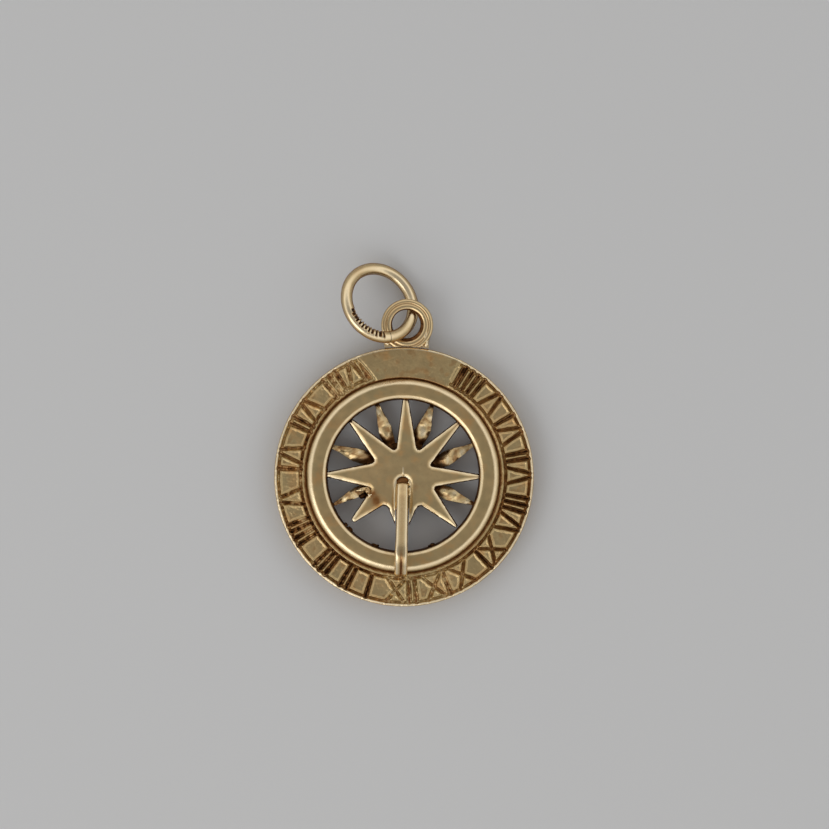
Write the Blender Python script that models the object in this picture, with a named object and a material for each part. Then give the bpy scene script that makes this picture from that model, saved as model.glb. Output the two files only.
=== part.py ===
"""Gold sundial pendant lying on its back. Metres, +Z up: dial face up, bail towards +Y, back face on z = 0."""

import math

import bmesh
import bpy
from mathutils import Matrix, Vector

MM = 0.001

# Driving sizes
DIAL_R = 9.5 * MM
PLATE_T = 1.5 * MM
RELIEF = 0.35 * MM
GAP = 0.03 * MM
EDGE = 0.1 * MM
# The bezel ring and the sun were set slightly off the dial's centre.
SEAT = Vector((-0.07 * MM, 0.09 * MM, 0.0))
ARC_STEPS = 120

# Dial plate
HOLE_R = 7.10 * MM
HOLE_MOUTH_R = 7.24 * MM
HOLE_MOUTH_DEPTH = 0.3 * MM
INNER_GROOVE = (7.43 * MM, 7.70 * MM)
OUTER_GROOVE = (9.08 * MM, 9.27 * MM)
BAND = (25.6, 341.0)
STROKE_W = 0.25 * MM
STROKE_DRAFT = 0.04 * MM
STROKE_R = (7.56 * MM, 9.18 * MM)
STROKE_PITCH = 3.3
V_PITCH = 7.7
X_PITCH = 6.6
V_APEX = 1.1
V_OPEN = 4.4
X_OUTER = 4.0
X_INNER = 4.6
# Each hour in reading order and the clockwise angle of its middle from the bail.
HOURS = (
    ("IIII", 33.9), ("V", 48.5), ("VI", 63.0), ("VII", 82.6), ("VIII", 106.0), ("IX", 131.6),
    ("X", 147.9), ("XI", 160.1), ("XII", 178.0), ("I", 196.7), ("II", 207.9), ("III", 221.2),
    ("IIII", 240.9), ("V", 258.0), ("VI", 276.7), ("VII", 299.7), ("VIII", 326.1),
)

# Bezel ring
BEZEL_IN_R = 5.64 * MM
BEZEL_OUT_R = HOLE_R - GAP
BEZEL_TOP = PLATE_T + 0.28 * MM
BEZEL_IN_BEVEL = (0.30 * MM, 0.18 * MM)
BEZEL_OUT_BEVEL = (0.34 * MM, 0.45 * MM)
STUB_ANGLES = (156.5, 201.0)
STUB_SIZE = (0.7 * MM, 0.28 * MM)
STUB_Z = (0.25 * MM, 0.95 * MM)
BROKEN_TIP_ANGLE = 226.0
BROKEN_TIP_SIZE = (0.55 * MM, 0.22 * MM)
BROKEN_TIP_Z = (0.85 * MM, 1.45 * MM)

# Sun, front layer
SUN_BOTTOM = 0.75 * MM
SUN_TOP = PLATE_T
RAY_REACH = BEZEL_IN_R - GAP
# Clockwise from the bail: a ray's angle, its share of the full reach and half the width of its tip,
# then the valley that follows it: middle angle, half its opening and its distance from the centre.
RAYS = (
    (0.7, 1.0, 0.17 * MM, 28.3, 3.7, 2.18 * MM),
    (45.6, 1.0, 0.17 * MM, 68.6, 2.8, 2.17 * MM),
    (89.8, 1.0, 0.14 * MM, 110.2, 3.5, 2.49 * MM),
    (132.6, 0.965, 0.10 * MM, 152.0, 4.9, 2.52 * MM),
    (180.0, 0.8, 0.15 * MM, 207.6, 5.2, 2.54 * MM),
    (226.8, 0.88, 0.14 * MM, 247.0, 3.0, 2.58 * MM),
    (269.6, 1.0, 0.16 * MM, 294.2, 3.8, 2.37 * MM),
    (315.0, 0.98, 0.17 * MM, 341.2, 4.4, 1.99 * MM),
)
RAY_BEVEL = 0.1 * MM
SLOT_W = 1.12 * MM
SLOT_END_Y = 0.02 * MM

# Sun, back layer
BACK_HUB_R = 2.45 * MM
BACK_TOP = SUN_BOTTOM - GAP
LEAF_ANGLES = (-112.5, -67.5, -22.5, 22.5, 67.5, 112.5)
# Along each leaf: distance from the centre, half width, ridge height, shoulder height.
LEAF_STATIONS = (
    (1.80 * MM, 0.26 * MM, 0.62 * MM, 0.60 * MM),
    (2.50 * MM, 0.36 * MM, 0.70 * MM, 0.58 * MM),
    (3.60 * MM, 0.50 * MM, 1.15 * MM, 0.62 * MM),
    (4.60 * MM, 0.30 * MM, 1.05 * MM, 0.66 * MM),
    (BEZEL_IN_R - GAP, 0.13 * MM, 0.80 * MM, 0.68 * MM),
)

# Gnomon: a fin that stands on the centre line below the hub.
FIN_X = -0.08 * MM
FIN_W = (0.76 * MM, 0.90 * MM)
FIN_CHAMFER = 0.15 * MM
FIN_SEAT_Z = SUN_BOTTOM
FIN_REST_Z = BEZEL_TOP + GAP
FIN_PEAK_Z = 3.7 * MM
# Along the fin: distance below the centre, underside height, top height.
FIN_STATIONS = (
    (0.45 * MM, FIN_SEAT_Z + 0.15 * MM, 1.35 * MM),
    (0.52 * MM, FIN_SEAT_Z, 1.58 * MM),
    (0.72 * MM, FIN_SEAT_Z, 1.78 * MM),
    (5.45 * MM, FIN_SEAT_Z, 3.66 * MM),
    (5.46 * MM, FIN_REST_Z, 3.665 * MM),
    (5.62 * MM, FIN_REST_Z, FIN_PEAK_Z),
    (5.80 * MM, FIN_REST_Z, 3.62 * MM),
    (7.12 * MM, FIN_REST_Z, 2.42 * MM),
    (7.24 * MM, FIN_REST_Z + 0.04 * MM, 2.28 * MM),
    (7.28 * MM, FIN_REST_Z + 0.14 * MM, 2.12 * MM),
)
SPLIT_W = 0.16 * MM
SPLIT_Y = (5.9 * MM, 7.6 * MM)
SPLIT_FLOOR = (3.55 * MM, 1.2 * MM)

# Solder beside the gnomon's root: name, distance from its middle, y, half its length along the fin, radius.
ROOT_BEADS = (
    ("root_solder_left", -0.475 * MM, -1.1 * MM, 0.75 * MM, 0.066 * MM),
    ("root_solder_upper", 0.475 * MM, -0.62 * MM, 0.16 * MM, 0.062 * MM),
    ("root_solder_lower", 0.478 * MM, -1.25 * MM, 0.34 * MM, 0.066 * MM),
)
BEAD_Z = 1.18 * MM

# Bail
BAIL_Y = 11.11 * MM
BAIL_Z = 1.6 * MM
BAIL_R = 1.52 * MM
BAIL_W = 0.78 * MM
BAIL_T = 0.46 * MM
BAIL_ROUND = 0.2 * MM
BAIL_STEPS = 64
FOOT_X = (0.72 * MM, 1.62 * MM)
FOOT_TOP_Y = 9.86 * MM
FOOT_Z = (0.90 * MM, 1.70 * MM)

# Jump ring
RING_R = 2.68 * MM
WIRE_R = 0.45 * MM
RING_STEPS = 72
WIRE_STEPS = 16
RING_FROM_BAIL = 2.57 * MM
RING_BEARING = 142.3
RING_SLOPE_ACROSS = 0.65
RING_SLOPE_ALONG = 0.15
RING_Z = 1.95 * MM
SEAM_W = 0.03 * MM
SEAM_ANGLE = 136.5


def clear_scene():
    for item in list(bpy.data.objects):
        bpy.data.objects.remove(item, do_unlink=True)


def gold(name, colour, roughness):
    material = bpy.data.materials.new(name)
    material.use_nodes = True
    shader = material.node_tree.nodes["Principled BSDF"]
    shader.inputs["Base Color"].default_value = (*colour, 1.0)
    shader.inputs["Metallic"].default_value = 1.0
    shader.inputs["Roughness"].default_value = roughness
    return material


def mesh_object(name, vertices, faces, material=None):
    mesh = bpy.data.meshes.new(name)
    mesh.from_pydata([tuple(v) for v in vertices], [], faces)
    bm = bmesh.new()
    bm.from_mesh(mesh)
    bmesh.ops.recalc_face_normals(bm, faces=bm.faces)
    bm.to_mesh(mesh)
    bm.free()
    item = bpy.data.objects.new(name, mesh)
    bpy.context.scene.collection.objects.link(item)
    if material:
        mesh.materials.append(material)
    return item


def smooth(item, angle=35.0):
    item.data.shade_smooth()
    item.data.set_sharp_from_angle(angle=math.radians(angle))


def boolean(item, cutter, operation):
    """Apply one Boolean to item and remove the cutter."""
    modifier = item.modifiers.new(operation, "BOOLEAN")
    modifier.operation = operation
    modifier.solver = "EXACT"
    modifier.object = cutter
    graph = bpy.context.evaluated_depsgraph_get()
    result = bpy.data.meshes.new_from_object(item.evaluated_get(graph))
    item.modifiers.remove(modifier)
    item.data = result
    bpy.data.objects.remove(cutter, do_unlink=True)


def clockwise(radius, degrees, centre=Vector((0, 0, 0))):
    """A point at a clockwise angle from +Y."""
    a = math.radians(degrees)
    return Vector((radius * math.sin(a), radius * math.cos(a), 0.0)) + centre


def loft(name, rings, closed, material=None):
    """Skin a list of equal rings; closed joins the last ring to the first, otherwise the ends are capped."""
    count = len(rings[0])
    vertices = [point for ring in rings for point in ring]
    faces = []
    spans = len(rings) if closed else len(rings) - 1
    for i in range(spans):
        a = i * count
        b = (i + 1) % len(rings) * count
        for j in range(count):
            k = (j + 1) % count
            faces.append((a + j, a + k, b + k, b + j))
    if not closed:
        faces.append(tuple(range(count))[::-1])
        faces.append(tuple(range(len(vertices) - count, len(vertices))))
    return mesh_object(name, vertices, faces, material)


def revolved(name, profile, steps, material):
    """Turn a closed outline of (radius, height, centre) about Z."""
    rings = []
    for i in range(steps):
        angle = 360.0 * i / steps
        rings.append([clockwise(r, angle, c) + Vector((0, 0, z)) for r, z, c in profile])
    return loft(name, rings, True, material)


def prism(name, outline, bottom, top, material=None):
    low = [Vector((p.x, p.y, bottom)) for p in outline]
    high = [Vector((p.x, p.y, top)) for p in outline]
    return loft(name, [low, high], False, material)


def arc_cutter(radii, centre, start, end):
    """A curved groove cutter between two radii."""
    steps = int((end - start) / 3.0)
    rings = []
    for i in range(steps + 1):
        angle = start + (end - start) * i / steps
        low_in = clockwise(radii[0] + STROKE_DRAFT, angle, centre)
        low_out = clockwise(radii[1] - STROKE_DRAFT, angle, centre)
        high_in = clockwise(radii[0] - STROKE_DRAFT, angle, centre)
        high_out = clockwise(radii[1] + STROKE_DRAFT, angle, centre)
        floor = Vector((0, 0, PLATE_T - RELIEF))
        top = Vector((0, 0, PLATE_T + RELIEF))
        rings.append([low_in + floor, low_out + floor, high_out + top, high_in + top])
    return loft("arc_cutter", rings, False)


def stroke_cutter(inner_angle, outer_angle):
    """A straight groove cutter from the inner groove to the outer one, wider at its top."""
    start = clockwise(STROKE_R[0], inner_angle)
    end = clockwise(STROKE_R[1], outer_angle)
    along = (end - start).normalized()
    side = Vector((-along.y, along.x, 0.0))
    rings = []
    for point in (start, end):
        low = side * (STROKE_W / 2 - STROKE_DRAFT / 2)
        high = side * (STROKE_W / 2 + STROKE_DRAFT * 1.5)
        floor = Vector((0, 0, PLATE_T - RELIEF))
        top = Vector((0, 0, PLATE_T + RELIEF))
        rings.append([point - low + floor, point + low + floor, point + high + top, point - high + top])
    return loft("stroke_cutter", rings, False)


def glyph_places(numeral):
    """Letters of a numeral in clockwise order with their angles about its middle."""
    letters = numeral[::-1]
    places = [0.0]
    for a, b in zip(letters, letters[1:]):
        pair = {a, b}
        step = V_PITCH if "V" in pair else X_PITCH if "X" in pair else STROKE_PITCH
        places.append(places[-1] + step)
    middle = (places[0] + places[-1]) / 2
    return [(letter, place - middle) for letter, place in zip(letters, places)]


def numeral_strokes():
    """Inner and outer angle of every stroke of every hour."""
    strokes = []
    for numeral, middle in HOURS:
        for letter, offset in glyph_places(numeral):
            at = middle + offset
            if letter == "I":
                strokes.append((at, at))
            elif letter == "V":
                strokes.append((at - V_OPEN, at - V_APEX))
                strokes.append((at + V_OPEN, at + V_APEX))
            else:
                strokes.append((at + X_INNER, at - X_OUTER))
                strokes.append((at - X_INNER, at + X_OUTER))
    return strokes


def make_dial_plate(material):
    zero = Vector((0, 0, 0))
    profile = [
        (HOLE_R, 0.0, SEAT),
        (DIAL_R - EDGE, 0.0, zero),
        (DIAL_R, EDGE, zero),
        (DIAL_R, PLATE_T - EDGE, zero),
        (DIAL_R - EDGE, PLATE_T, zero),
        (HOLE_MOUTH_R, PLATE_T, SEAT),
        (HOLE_R, PLATE_T - HOLE_MOUTH_DEPTH, SEAT),
    ]
    plate = revolved("dial_plate", profile, ARC_STEPS, material)
    boolean(plate, arc_cutter(INNER_GROOVE, SEAT, *BAND), "DIFFERENCE")
    boolean(plate, arc_cutter(OUTER_GROOVE, zero, *BAND), "DIFFERENCE")
    for inner_angle, outer_angle in numeral_strokes():
        boolean(plate, stroke_cutter(inner_angle, outer_angle), "DIFFERENCE")
    smooth(plate, 25.0)


def wall_bump(angle, size, heights):
    """A broken ray's stump on the bezel ring's inner wall."""
    width, reach = size
    half = math.degrees(width / 2 / BEZEL_IN_R)
    root = BEZEL_IN_R + 2 * EDGE
    outline = [
        clockwise(root, angle - half, SEAT),
        clockwise(root, angle + half, SEAT),
        clockwise(BEZEL_IN_R - reach, angle + half / 3, SEAT),
        clockwise(BEZEL_IN_R - reach, angle - half / 3, SEAT),
    ]
    return prism("wall_bump", outline, *heights)


def make_bezel_ring(material):
    in_run, in_drop = BEZEL_IN_BEVEL
    out_run, out_drop = BEZEL_OUT_BEVEL
    outline = [
        (BEZEL_IN_R, 0.0),
        (BEZEL_OUT_R, 0.0),
        (BEZEL_OUT_R, BEZEL_TOP - out_drop),
        (BEZEL_OUT_R - out_run, BEZEL_TOP),
        (BEZEL_IN_R + in_run, BEZEL_TOP),
        (BEZEL_IN_R, BEZEL_TOP - in_drop),
    ]
    ring = revolved("bezel_ring", [(r, z, SEAT) for r, z in outline], ARC_STEPS, material)
    for angle in STUB_ANGLES:
        boolean(ring, wall_bump(angle, STUB_SIZE, STUB_Z), "UNION")
    boolean(ring, wall_bump(BROKEN_TIP_ANGLE, BROKEN_TIP_SIZE, BROKEN_TIP_Z), "UNION")
    smooth(ring, 25.0)


def sun_outline():
    outline = []
    for angle, share, half_tip, valley_angle, half_valley, valley_r in RAYS:
        reach = RAY_REACH * share
        half = math.degrees(half_tip / reach)
        outline.append(clockwise(reach, angle - half, SEAT))
        outline.append(clockwise(reach, angle + half, SEAT))
        outline.append(clockwise(valley_r, valley_angle - half_valley, SEAT))
        outline.append(clockwise(valley_r, valley_angle + half_valley, SEAT))
    return outline


def make_sun_front(material):
    sun = prism("sun_front", sun_outline(), SUN_BOTTOM, SUN_TOP, material)
    bm = bmesh.new()
    bm.from_mesh(sun.data)
    top = [face for face in bm.faces if face.normal.z > 0.9]
    rim = {vertex for face in top for vertex in face.verts}
    bmesh.ops.inset_region(bm, faces=top, thickness=RAY_BEVEL)
    for vertex in rim:
        vertex.co.z -= RAY_BEVEL
    bm.to_mesh(sun.data)
    bm.free()
    half = SLOT_W / 2
    slot = [Vector((FIN_X - half, -RAY_REACH, 0)), Vector((FIN_X + half, -RAY_REACH, 0))]
    for i in range(9):
        a = math.pi * i / 8
        slot.append(Vector((FIN_X + half * math.cos(a), SLOT_END_Y - half + half * math.sin(a), 0)))
    boolean(sun, prism("slot_cutter", slot, SUN_BOTTOM - EDGE, SUN_TOP + EDGE), "DIFFERENCE")


def leaf(angle):
    """One low, ridged ray of the back layer."""
    rings = []
    for reach, half, ridge, shoulder in LEAF_STATIONS:
        section = [(-half, 0.0), (half, 0.0), (half, shoulder), (0.0, ridge), (-half, shoulder)]
        turn = Matrix.Rotation(-math.radians(angle), 3, "Z")
        rings.append([turn @ Vector((x, reach, z)) + SEAT for x, z in section])
    return loft("leaf", rings, False)


def make_sun_back(material):
    hub = [clockwise(BACK_HUB_R, 7.5 * i, SEAT) for i in range(48)]
    back = prism("sun_back", hub, 0.0, BACK_TOP, material)
    for angle in LEAF_ANGLES:
        boolean(back, leaf(angle), "UNION")
    smooth(back, 20.0)


def make_gnomon(material):
    first = FIN_STATIONS[0][0]
    last = FIN_STATIONS[-1][0]
    rings = []
    for reach, low, high in FIN_STATIONS:
        share = (reach - first) / (last - first)
        half = (FIN_W[0] + (FIN_W[1] - FIN_W[0]) * share) / 2
        if reach == first:
            half *= 0.55
        flat = half - FIN_CHAMFER
        side = high - FIN_CHAMFER
        section = [(-half, low), (half, low), (half, side), (flat, high), (-flat, high), (-half, side)]
        rings.append([Vector((FIN_X + x, -reach, z)) for x, z in section])
    fin = loft("gnomon", rings, False, material)
    half = SPLIT_W / 2
    wedge = []
    for y, floor, width in zip(SPLIT_Y, SPLIT_FLOOR, (half / 2, half)):
        top = FIN_PEAK_Z + EDGE
        wedge.append([Vector((FIN_X - width, -y, floor)), Vector((FIN_X + width, -y, floor)),
                      Vector((FIN_X + width, -y, top)), Vector((FIN_X - width, -y, top))])
    boolean(fin, loft("split_cutter", wedge, False), "DIFFERENCE")
    smooth(fin, 20.0)


def bead(name, centre, half_length, radius, material):
    """A round-ended drop of solder along Y."""
    rings = []
    for i in range(1, 8):
        a = math.pi * i / 8
        r = radius * math.sin(a)
        y = half_length * math.cos(a)
        rings.append([centre + Vector((r * math.cos(k * math.pi / 5), y, r * math.sin(k * math.pi / 5)))
                      for k in range(10)])
    return loft(name, rings, False, material)


def make_gnomon_solder(material):
    for name, x, y, half_length, radius in ROOT_BEADS:
        smooth(bead(name, Vector((FIN_X + x, y, BEAD_Z)), half_length, radius, material), 60.0)


def make_bail(material):
    centre = Vector((0, BAIL_Y, 0))
    corners = ((1, -1, -90), (1, 1, 0), (-1, 1, 90), (-1, -1, 180))
    profile = []
    for sx, sz, start in corners:
        for i in range(4):
            a = math.radians(start + 30 * i)
            r = BAIL_R + sx * (BAIL_W / 2 - BAIL_ROUND) + BAIL_ROUND * math.cos(a)
            z = BAIL_Z + sz * (BAIL_T / 2 - BAIL_ROUND) + BAIL_ROUND * math.sin(a)
            profile.append((r, z, centre))
    loop = revolved("bail", profile, BAIL_STEPS, material)
    edge = [clockwise(DIAL_R + GAP, 3.0 * i) for i in range(120)]
    boolean(loop, prism("edge_cutter", edge, -EDGE, 2 * PLATE_T), "DIFFERENCE")
    smooth(loop)


def make_bail_feet(material):
    centre = Vector((0, BAIL_Y, 0))
    for name, side in (("bail_foot_left", -1), ("bail_foot_right", 1)):
        low, high = FOOT_Z
        outline = []
        for x in FOOT_X:
            outline.append(Vector((side * x, math.sqrt((DIAL_R + GAP) ** 2 - x * x) + GAP, 0)))
        outline.append(Vector((side * FOOT_X[1], FOOT_TOP_Y - 2 * EDGE, 0)))
        outline.append(Vector((side * (FOOT_X[1] - EDGE), FOOT_TOP_Y, 0)))
        outline.append(Vector((side * (FOOT_X[0] + 3 * EDGE), FOOT_TOP_Y, 0)))
        foot = prism(name, outline, low, high, material)
        clear = [clockwise(BAIL_R + BAIL_W / 2 + GAP, 5.0 * i, centre) for i in range(72)]
        boolean(foot, prism("loop_cutter", clear, 0.0, 2 * PLATE_T), "DIFFERENCE")


def ring_frame():
    """Place of the jump ring: X towards its far side, Z along its own axis."""
    bearing = math.radians(RING_BEARING)
    away = Vector((math.cos(bearing), math.sin(bearing), 0.0))
    across = Vector((-math.sin(bearing), math.cos(bearing), 0.0))
    x = (away + Vector((0, 0, RING_SLOPE_ALONG))).normalized()
    y = across + Vector((0, 0, RING_SLOPE_ACROSS))
    z = x.cross(y).normalized()
    y = z.cross(x)
    centre = Vector((0, BAIL_Y, RING_Z)) + away * RING_FROM_BAIL
    place = Matrix((x, y, z)).transposed().to_4x4()
    place.translation = centre
    return place


def make_jump_ring(material):
    place = ring_frame()
    half_seam = math.degrees(SEAM_W / 2 / RING_R)
    start = SEAM_ANGLE + half_seam
    sweep = 360.0 - 2 * half_seam
    rings = []
    for i in range(RING_STEPS + 1):
        a = math.radians(start + sweep * i / RING_STEPS)
        ring = []
        for k in range(WIRE_STEPS):
            b = 2 * math.pi * k / WIRE_STEPS
            r = RING_R + WIRE_R * math.cos(b)
            ring.append(place @ Vector((r * math.cos(a), r * math.sin(a), WIRE_R * math.sin(b))))
        rings.append(ring)
    smooth(loft("jump_ring", rings, False, material))


def main():
    clear_scene()
    dull = gold("dull_gold", (0.62, 0.47, 0.24), 0.42)
    bright = gold("bright_gold", (0.75, 0.56, 0.30), 0.25)
    cast = gold("cast_gold", (0.60, 0.44, 0.22), 0.5)
    solder = gold("solder_gold", (0.80, 0.64, 0.38), 0.3)
    make_dial_plate(dull)
    make_bezel_ring(dull)
    make_sun_front(dull)
    make_sun_back(cast)
    make_gnomon(bright)
    make_gnomon_solder(solder)
    make_bail(bright)
    make_bail_feet(solder)
    make_jump_ring(bright)


main()
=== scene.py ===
"""Gold sundial pendant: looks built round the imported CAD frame. Lengths below are in millimetres."""

import math

import bpy
import numpy as np
from mathutils import Matrix, Vector, noise

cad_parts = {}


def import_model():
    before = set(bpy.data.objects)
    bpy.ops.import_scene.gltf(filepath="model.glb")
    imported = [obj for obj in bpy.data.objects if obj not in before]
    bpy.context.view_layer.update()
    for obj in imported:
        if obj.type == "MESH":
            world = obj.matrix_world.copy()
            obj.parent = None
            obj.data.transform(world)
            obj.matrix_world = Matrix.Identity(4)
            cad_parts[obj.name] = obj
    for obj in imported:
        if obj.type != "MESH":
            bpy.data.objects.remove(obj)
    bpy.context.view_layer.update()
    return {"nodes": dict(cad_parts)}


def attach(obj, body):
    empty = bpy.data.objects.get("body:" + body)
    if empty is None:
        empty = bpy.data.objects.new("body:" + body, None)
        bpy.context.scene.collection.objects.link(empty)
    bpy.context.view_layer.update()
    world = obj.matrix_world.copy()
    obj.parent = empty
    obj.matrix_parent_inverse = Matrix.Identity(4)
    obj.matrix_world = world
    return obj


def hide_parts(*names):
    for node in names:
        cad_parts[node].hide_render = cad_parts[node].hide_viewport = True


MM = 0.001
BODY = "pendant"
RING_BODY = "jump_ring"

# Shared sizes, as in the CAD frame
DIAL_R = 9.5
PLATE_T = 1.5
RELIEF = 0.35
GAP = 0.03
SEAT = np.array([-0.07, 0.09])

# Dial plate
HOLE_R = 7.10
MOUTH_R = 7.18
RIM_R = DIAL_R - 0.06
INNER_GROOVE = (7.42, 7.62)
OUTER_GROOVE = (9.10, 9.28)
# The numbered band starts at this clockwise angle. Its end slants: radius, angle.
BAND_START = 25.6
BAND_END = ((7.4, 342.0), (9.2, 337.0))
# Sunk patches at the band's two ends: first and last clockwise angle.
WEDGES = ((26.7, 29.3), (337.2, 343.0))
WEDGE_DEPTH = 0.13
# A stroke runs between two radii. Half its width goes by its letter.
STROKE_R = (7.56, 9.19)
STROKE_HALF = {"I": 0.165, "V": 0.135, "X": 0.12}
# Burred edge round every raised patch: how far the patch lies below it and half the burr's width.
BURR = 0.085
BURR_HALF = 0.072
# Degrees from letter to letter, and from a letter's middle to the ends of its strokes.
STROKE_PITCH = 3.3
V_PITCH = 7.7
X_PITCH = 6.6
V_APEX = 1.1
V_OPEN = 4.4
X_OUTER = 4.0
X_INNER = 4.6
HOURS = (
    ("IIII", 33.9), ("V", 48.5), ("VI", 63.0), ("VII", 82.6), ("VIII", 106.0), ("IX", 131.6),
    ("X", 147.9), ("XI", 160.1), ("XII", 178.0), ("I", 196.7), ("II", 207.9), ("III", 221.2),
    ("IIII", 240.9), ("V", 258.0), ("VI", 276.7), ("VII", 299.7), ("VIII", 326.1),
)
# The face lies a little below the CAD's, to leave room for its grain, swell and lumps of debris.
FACE_DROP = 0.012
FACE_GRAIN = 0.016
FACE_SWELL = 0.010
FACE_LUMPS = 0.028
GROOVE_GRAIN = 0.03
GROOVE_WANDER = 0.024
# How dark and deep the strokes are round the dial: clockwise angle, strength.
STRENGTH = (
    (0, 0.4), (26, 0.55), (45, 0.6), (60, 0.6), (80, 0.75), (98, 1.0), (110, 1.0), (122, 0.75),
    (135, 0.8), (150, 0.5), (165, 0.25), (190, 0.25), (198, 0.9), (212, 1.0), (228, 0.75), (248, 0.95),
    (258, 0.45), (275, 0.45), (290, 0.5), (300, 0.4), (312, 0.3), (341, 0.25), (360, 0.4),
)
# How much casting debris there is: clockwise angle, amount.
MESS = (
    (0, 0.0), (142, 0.1), (158, 0.8), (168, 0.6), (185, 1.0), (194, 0.3), (215, 0.5), (240, 0.8),
    (262, 1.0), (275, 0.4), (300, 0.4), (316, 0.9), (334, 0.8), (341, 0.2), (360, 0.0),
)
# Fine scratches on the plate: two ends and weight.
SCRATCHES = (
    (1.63, 8.05, 2.08, 7.98, 0.03), (-1.9, 8.3, -0.6, 8.75, 0.012), (0.4, 8.9, 1.7, 8.3, 0.010),
    (-2.4, 7.75, -1.5, 8.2, 0.012), (0.9, 7.5, 2.6, 7.75, 0.010), (-0.5, 8.2, 0.3, 8.1, 0.014),
)
# Small raised specks: x, y, radius, height.
SPECKS = (
    (-0.85, 7.62, 0.07, 0.03), (-0.62, 7.48, 0.06, 0.03), (-1.05, 7.45, 0.05, 0.025),
    (-0.7, 7.82, 0.05, 0.02), (-1.75, 7.95, 0.05, 0.02), (0.25, 7.4, 0.05, 0.02),
    (-2.2, 8.05, 0.06, 0.02), (2.9, 7.3, 0.05, 0.02),
)
# Places where the grooves stayed partly filled in casting: clockwise angle, radius, reach, share filled.
FILLED = (
    (240.0, 7.95, 0.55, 0.75), (246.5, 8.0, 0.5, 0.8), (156.5, 8.1, 0.45, 0.7), (163.0, 7.6, 0.5, 0.7),
    (266.0, 7.75, 0.5, 0.8), (322.0, 8.0, 0.6, 0.6), (330.0, 7.9, 0.5, 0.5), (188.0, 7.8, 0.4, 0.6),
)
PLATE_COLUMNS = 1500
PLATE_ROWS = 56

# Bezel ring
BEZEL_IN_R = 5.64
BEZEL_OUT_R = 7.07
BEZEL_TOP = 1.78
BEZEL_COLUMNS = 720
# Stumps on its inner wall: clockwise angle, half width.
STUBS = ((156.5, 0.26), (200.5, 0.30), (223.5, 0.24), (228.0, 0.14), (338.5, 0.18), (21.0, 0.12))

# Sun
SUN_BOTTOM = 0.75
SUN_TOP = 1.5
RAY_REACH = BEZEL_IN_R - GAP
# Clockwise from the bail: a ray's angle, its reach and half the width of its tip,
# then the valley that follows it: middle angle, half its opening and its distance from the centre.
RAYS = (
    (0.7, 5.60, 0.17, 28.3, 3.7, 2.18),
    (45.6, 5.60, 0.15, 68.6, 2.8, 2.17),
    (89.8, 5.60, 0.13, 110.2, 3.5, 2.49),
    (132.6, 5.40, 0.08, 152.0, 4.9, 2.52),
    (180.0, 4.40, 0.15, 207.6, 5.2, 2.54),
    (226.8, 4.93, 0.14, 247.0, 3.0, 2.58),
    (269.6, 5.60, 0.14, 294.2, 3.8, 2.37),
    (315.0, 5.50, 0.15, 341.2, 4.4, 1.99),
)
SLOT_HALF = 0.51
SLOT_END_Y = 0.02
# Run and drop of the rays' rounded bevel, then of the slot's lip.
RAY_BEVEL = (0.30, 0.13)
SLOT_LIP = (0.3, 0.10)
SUN_SKIN = 0.01
# A scribed tick above the slot and two brown shadows: where they are.
TICK_X = -0.07
TICK_Y = (0.05, 0.78)
SHADOW_AT = (-2.10, -1.65)
BLOT_AT = (0.75, -0.75)
SUN_COLUMNS = 1400
SUN_ROWS = 40
# Each low ray: angle at its root, angle at its tip, share of the common width.
LEAVES = (
    (22.8, 21.2, 1.08), (67.8, 65.2, 1.06), (110.8, 110.9, 0.96),
    (337.0, 338.6, 1.0), (293.3, 291.0, 1.06), (249.0, 246.0, 0.74),
)
# Stations along a low ray: distance from the centre, half width, height of its ridge and of its shoulders.
LEAF_STATIONS = (
    (1.8, 0.30, 0.62, 0.60), (2.5, 0.38, 0.72, 0.60), (3.0, 0.47, 0.98, 0.76), (3.6, 0.53, 1.16, 0.92),
    (4.1, 0.44, 1.14, 0.94), (4.6, 0.32, 1.05, 0.90), (5.1, 0.22, 0.92, 0.84), (5.6, 0.13, 0.82, 0.78),
)
LEAF_REACH, LEAF_HALF, LEAF_RIDGE, LEAF_SHOULDER = zip(*LEAF_STATIONS)
LEAF_SLICES = 26
# The low rays' hub: radius, height.
HUB_PROFILE = ((0.6, 0.0), (1.6, 0.0), (2.40, 0.0), (2.45, 0.06), (2.45, 0.66), (2.40, 0.72), (0.6, 0.72))
HUB_COLUMNS = 96

# Lumps left by the casting beside the lowest left rays: place, radii, turn, and colour mark: painted shade
# where positive, as in the dark pit, painted highlight where negative.
CAST_LUMPS = (
    ((-3.05, -0.98, 1.20), (0.42, 0.16, 0.22), 12.0, -0.3),
    ((-2.62, -1.10, 1.32), (0.18, 0.28, 0.22), 20.0, 0.2),
    ((-2.50, -1.42, 1.42), (0.17, 0.15, 0.16), 0.0, -0.9),
    ((-2.99, -1.45, 1.00), (0.30, 0.19, 0.16), 10.0, 1.0),
    ((-3.50, -1.20, 0.95), (0.16, 0.13, 0.15), 30.0, 0.1),
)

# Gnomon
FIN_X = -0.08
FIN_HALF = 0.42
FIN_SPREAD = 0.05
FIN_CHAMFER = 0.14
# Its lower edge rests on the bezel outside this distance from the centre.
FIN_STEP = 5.45
# Its upper edge: distance from the centre, height.
FIN_EDGE = (
    (0.36, 1.30), (0.40, 1.46), (0.48, 1.62), (0.64, 1.74), (1.2, 1.98), (2.2, 2.37), (3.2, 2.76),
    (4.2, 3.15), (5.0, 3.46), (5.3, 3.58), (5.44, 3.63), (5.46, 3.635), (5.62, 3.66), (5.8, 3.62),
    (6.0, 3.50), (6.3, 3.24), (6.6, 2.97), (6.9, 2.69), (7.08, 2.50), (7.18, 2.38), (7.25, 2.24),
    (7.28, 2.12),
)
FIN_R, FIN_TOP = zip(*FIN_EDGE)
FIN_ROUNDING = 0.7
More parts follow.
